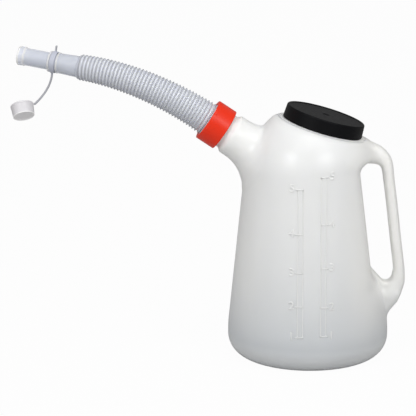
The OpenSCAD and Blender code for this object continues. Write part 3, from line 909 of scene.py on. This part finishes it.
root_end, root_fill = hose_root_r - rib_depth, 19.7
root_top = collar_half + 0.4
root_outline = eased([
    (root_end - hose_wall, flange_top - flange_t, 0.3), (flange_r, flange_top - flange_t, 0.4),
    (flange_r, flange_top, 0.4), (root_fill, flange_top, 0.6), (root_fill, collar_half, 0.4),
    (root_end, root_top, 0), (root_end - hose_wall, root_top, 0)])
bead_r = groove_r + bead_h
start_r = hose_tip_r - tip_depth
bore_r = tube_r - hose_wall
nozzle_outline = eased([
    (start_r - hose_wall, -0.8, 0), (start_r, -0.8, 0), (start_r, 0.6, 0.4), (sleeve_r, 2.2, 1.2),
    (bead_r - 0.6, sleeve_l - 0.6, 0.3), (bead_r, sleeve_l + 0.2, 0.5), (bead_r, groove_z - 0.2, 0.6),
    (groove_r, groove_z, 0.3), (groove_r, groove_z + groove_w, 0.3),
    (bead_r, groove_z + groove_w + 0.2, 0.6), (bead_r, tube_z - 0.4, 0.6), (tube_r, tube_z + 0.6, 0.6),
    (tube_r, lip_z, 0.5), (lip_r, lip_z + 0.6, 0.5), (lip_r, nozzle_l, 0.8),
    (bore_r, nozzle_l, 0.5), (bore_r, groove_z, 2.0), (sleeve_r - hose_wall, groove_z - 6, 2.0),
    (sleeve_r - hose_wall, 2.0, 0.5)], 3)
points, faces = turned(root_outline, 96)
hose_root = piece("hose_root", stand(points, spout_at, spout_lean), faces, cloudy)
clearness = hose_root.data.attributes.new("hose", "FLOAT", "POINT")
clearness.data.foreach_set("value", [1.0] * len(points))
points, faces = turned(nozzle_outline, 96)
nozzle = piece("nozzle", stand(points, hose_line[-1], nozzle_lean, nozzle_turn), faces, cloudy)
set_outward(hose_root)
set_outward(nozzle)
flexible_spout = joined("flexible_spout_moulding", [hose_skin, hose_root, nozzle])
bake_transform(flexible_spout)
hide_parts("flexible_spout")


# The strap is one soft grey moulding: a ring that sits in the groove between the nozzle's beads, a
# pull tab on top of it, and a narrow strap that hangs down and holds the tip cap by its rim.
ring_w, ring_t, ring_gap = 6.0, 1.3, 0.3
strap_w, strap_t = 4.6, 2.4
tab_h, tab_t = 7.4, 1.4
tip_cap_r, tip_cap_end_r, tip_cap_h, tip_cap_floor = 13.7, 12.6, 14.5, 1.8
cap_lean, cap_swing = math.radians(35), math.radians(110)
ring_r = groove_r + ring_gap
ring_z = groove_z + (groove_w - ring_w) / 2
ring_middle = stand([(0, 0, ring_z + ring_w / 2)], hose_line[-1], nozzle_lean, nozzle_turn)[0]
tip_cap_at = ring_middle + (-37.8, 0, -57.4)
strap_from = stand([(-ring_r - ring_t / 2, 0, ring_z + ring_w / 2 + 1.4)], hose_line[-1],
                   nozzle_lean, nozzle_turn)[0]
strap_to = stand([(0, -tip_cap_r - strap_t / 2 - ring_gap, tip_cap_h / 2)], tip_cap_at,
                 cap_lean, cap_swing)[0]
strap_poles = [strap_from, strap_from + (0, 0, -16), strap_to + (8.5, -1.6, 7.5), strap_to]


def strap_at(share):
    """A place on the strap's middle line, a curve with four poles."""
    a, b, c, d = strap_poles
    rest = 1 - share
    return rest ** 3 * a + 3 * share * rest ** 2 * b + 3 * share ** 2 * rest * c + share ** 3 * d


strap_line = np.array([strap_at(k / 60) for k in range(61)])
strap_run = np.gradient(strap_line, axis=0)
strap_run /= np.linalg.norm(strap_run, axis=1)[:, None]
nozzle_frame = np.array(Matrix.Rotation(nozzle_turn, 3, "Z") @ Matrix.Rotation(nozzle_lean, 3, "Y"))


def strap_field(x, y, z):
    """Ring, tab and strap, eased into each other."""
    spots = np.stack([x, y, z], 1)
    own = (spots - hose_line[-1]) @ nozzle_frame
    off = np.hypot(own[:, 0], own[:, 1])
    ring = round_max(np.abs(off - ring_r - ring_t / 2) - ring_t / 2,
                     np.abs(own[:, 2] - ring_z - ring_w / 2) - ring_w / 2, 0.5)
    top = ring_r + ring_t + tab_h
    tab = round_max(round_max(np.abs(own[:, 1]) - strap_w / 2, own[:, 0] - top, 1.6),
                    np.abs(own[:, 2] - ring_z - ring_w / 2) - tab_t / 2, 0.5)
    tab = np.maximum(tab, ring_r + 0.5 - own[:, 0])
    at = nearest((x, y, z), strap_line)
    away, run = spots - strap_line[at], strap_run[at]
    ahead = (away * run).sum(1)
    across = np.array([0.0, 1.0, 0.0])
    up = np.cross(run, across)
    up /= np.linalg.norm(up, axis=1)[:, None]
    beside = np.cross(up, run)
    band = round_max(np.abs((away * beside).sum(1)) - strap_w / 2,
                     np.abs((away * up).sum(1)) - strap_t / 2, 1.0)
    band = np.maximum(band, past_ends(at, ahead, strap_line))
    return soft_min(soft_min(ring, tab, 1.0), band, 1.5)


def grey_colour(board):
    """Grey, and paler in the ring, where the cloudy nozzle shines through."""
    off = board.vector("LENGTH", board.away(ring_middle), output="Value")
    ring = board.ramp(off, 0.0135, 0.0155, 1.0, 0.0, "LINEAR")
    plain = board.tint(board.noise(60.0, 3.0), (0.41, 0.415, 0.45), (0.51, 0.515, 0.55))
    return board.tint(ring, plain, (0.5, 0.52, 0.6))


grey = moulded("grey_strap_plastic", grey_colour, lambda board: 0.45 + board.noise(200.0) * 0.1,
               grain(700.0, 0.00004), Subsurface_Weight=0.2, Subsurface_Radius=(0.002, 0.002, 0.002),
               Subsurface_Scale=1.0, IOR=1.48)
points, faces = skin_of(strap_field, np.minimum(ring_middle, strap_to) - (12, 18, 4),
                        np.maximum(ring_middle, strap_to) + (8, 16, 24), 0.55)
strap = piece("strap_moulding", points, faces, grey)
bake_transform(strap)
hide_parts("tip_cap_strap")


# The tip cap is one white moulding, a short cup that fits over the nozzle's lip. It hangs open
# from its strap, its closed end turned down and a little sunk inside its own edge.
tip_bore = lip_r + 0.2
tip_top = tip_cap_h / 2
tip_sunk = 0.8 - tip_top
tip_floor = tip_sunk + tip_cap_floor
tip_outline = eased([
    (0, tip_sunk, 0), (tip_cap_end_r - 2.2, tip_sunk, 0.4), (tip_cap_end_r - 1.4, -tip_top, 0.3),
    (tip_cap_end_r, -tip_top, 0.6), (tip_cap_r - 0.35, tip_top - 2.4, 0.3),
    (tip_cap_r, tip_top - 2.0, 0.3), (tip_cap_r, tip_top, 0.6), (tip_bore, tip_top, 0.5),
    (tip_bore, tip_floor, 0.6), (0, tip_floor, 0)])


def white_colour_and_painted_light(board):
    """White, with painted light that makes the closed end, which faces down, whiter."""
    along = run_of(board, tip_cap_at, cap_lean, cap_swing)
    # Painted light on the closed end.
    closed = board.ramp(along, -0.0056, -0.007)
    plain = board.tint(board.noise(40.0, 3.0), (0.66, 0.645, 0.665), (0.72, 0.71, 0.73))
    return board.tint(closed, plain, (0.97, 0.96, 0.96))


white = moulded("white_cap_plastic", white_colour_and_painted_light, lambda board: 0.38 + board.noise(200.0) * 0.1,
                grain(600.0, 0.00004), Subsurface_Weight=0.3, Subsurface_Radius=(0.003, 0.003, 0.003),
                Subsurface_Scale=1.0, IOR=1.48)
points, faces = turned(tip_outline, 96)
tip_cap = piece("tip_cap_moulding", stand(points, tip_cap_at, cap_lean, cap_swing), faces, white)
set_outward(tip_cap)
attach(tip_cap, "tip_cap")
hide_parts("tip_cap")


# The studio: a plain pale floor that runs out of view and keeps the jug's shadow, soft lamps over
# and beside it, and a long lens a little above the jug's middle.
def seen_rays(board):
    """One where the camera looks, straight or through clear plastic."""
    straight = board.node("ShaderNodeLightPath", output="Is Camera Ray")
    through = Wire(board, straight.socket.node.outputs["Is Transmission Ray"])
    return straight.math("MAXIMUM", straight, through)


paper = bpy.data.materials.new("floor_paper")
board = empty_board(paper)
fibre = board.tint(board.noise(30.0), (0.52, 0.52, 0.52), (0.56, 0.56, 0.56))
lit = board.node("ShaderNodeBsdfDiffuse", {}, {"Color": fibre})
glow = board.node("ShaderNodeEmission", {}, {"Color": (1, 1, 1, 1), "Strength": 1.0})
shade = board.node("ShaderNodeMixShader", {}, {0: seen_rays(board) * 0.97, 1: lit, 2: glow})
board.node("ShaderNodeOutputMaterial", {}, {"Surface": shade})
reach = 9000
floor = piece("floor", [(-reach, -reach, 0), (reach, -reach, 0), (reach, reach, 0), (-reach, reach, 0)],
              [(0, 1, 2, 3)], paper, smooth=False)

world = bpy.data.worlds.new("studio")
board = empty_board(world)
dim = board.node("ShaderNodeBackground", {}, {"Color": (1, 1, 1, 1), "Strength": 0.38})
bright = board.node("ShaderNodeBackground", {}, {"Color": (1, 1, 1, 1), "Strength": 1.0})
sky = board.node("ShaderNodeMixShader", {}, {0: seen_rays(board), 1: dim, 2: bright})
board.node("ShaderNodeOutputWorld", {}, {"Surface": sky})
bpy.context.scene.world = world


lit_at = Vector((0, 0, 0.2))


def lamp(name, at, size, watts):
    """A soft lamp aimed at the jug. Places and sizes are in metres here."""
    light = bpy.data.lights.new(name, "AREA")
    light.shape, light.size, light.size_y = "RECTANGLE", size[0], size[1]
    light.energy = watts
    made = linked(name, light)
    made.location = at
    made.rotation_euler = (lit_at - Vector(at)).to_track_quat("-Z", "Y").to_euler()


lamp("over", (0.1, -0.9, 2.2), (1.6, 1.2), 19.5)
lamp("left", (-1.8, -2.1, 1.65), (0.9, 0.9), 25)
lamp("right", (1.2, -2.3, 1.65), (0.9, 0.9), 21)

camera_at, camera_down = (-0.1180, -2.4489, 0.7515), 13.214
lens = bpy.data.cameras.new("lens")
lens.lens, lens.sensor_width = 186.06, 36
lens.clip_start, lens.clip_end = 0.05, 60
camera = linked("camera", lens)
camera.location = camera_at
camera.rotation_euler = (math.radians(90 - camera_down), 0, 0)
bpy.context.scene.camera = camera
bpy.context.scene.view_settings.view_transform = "Standard"
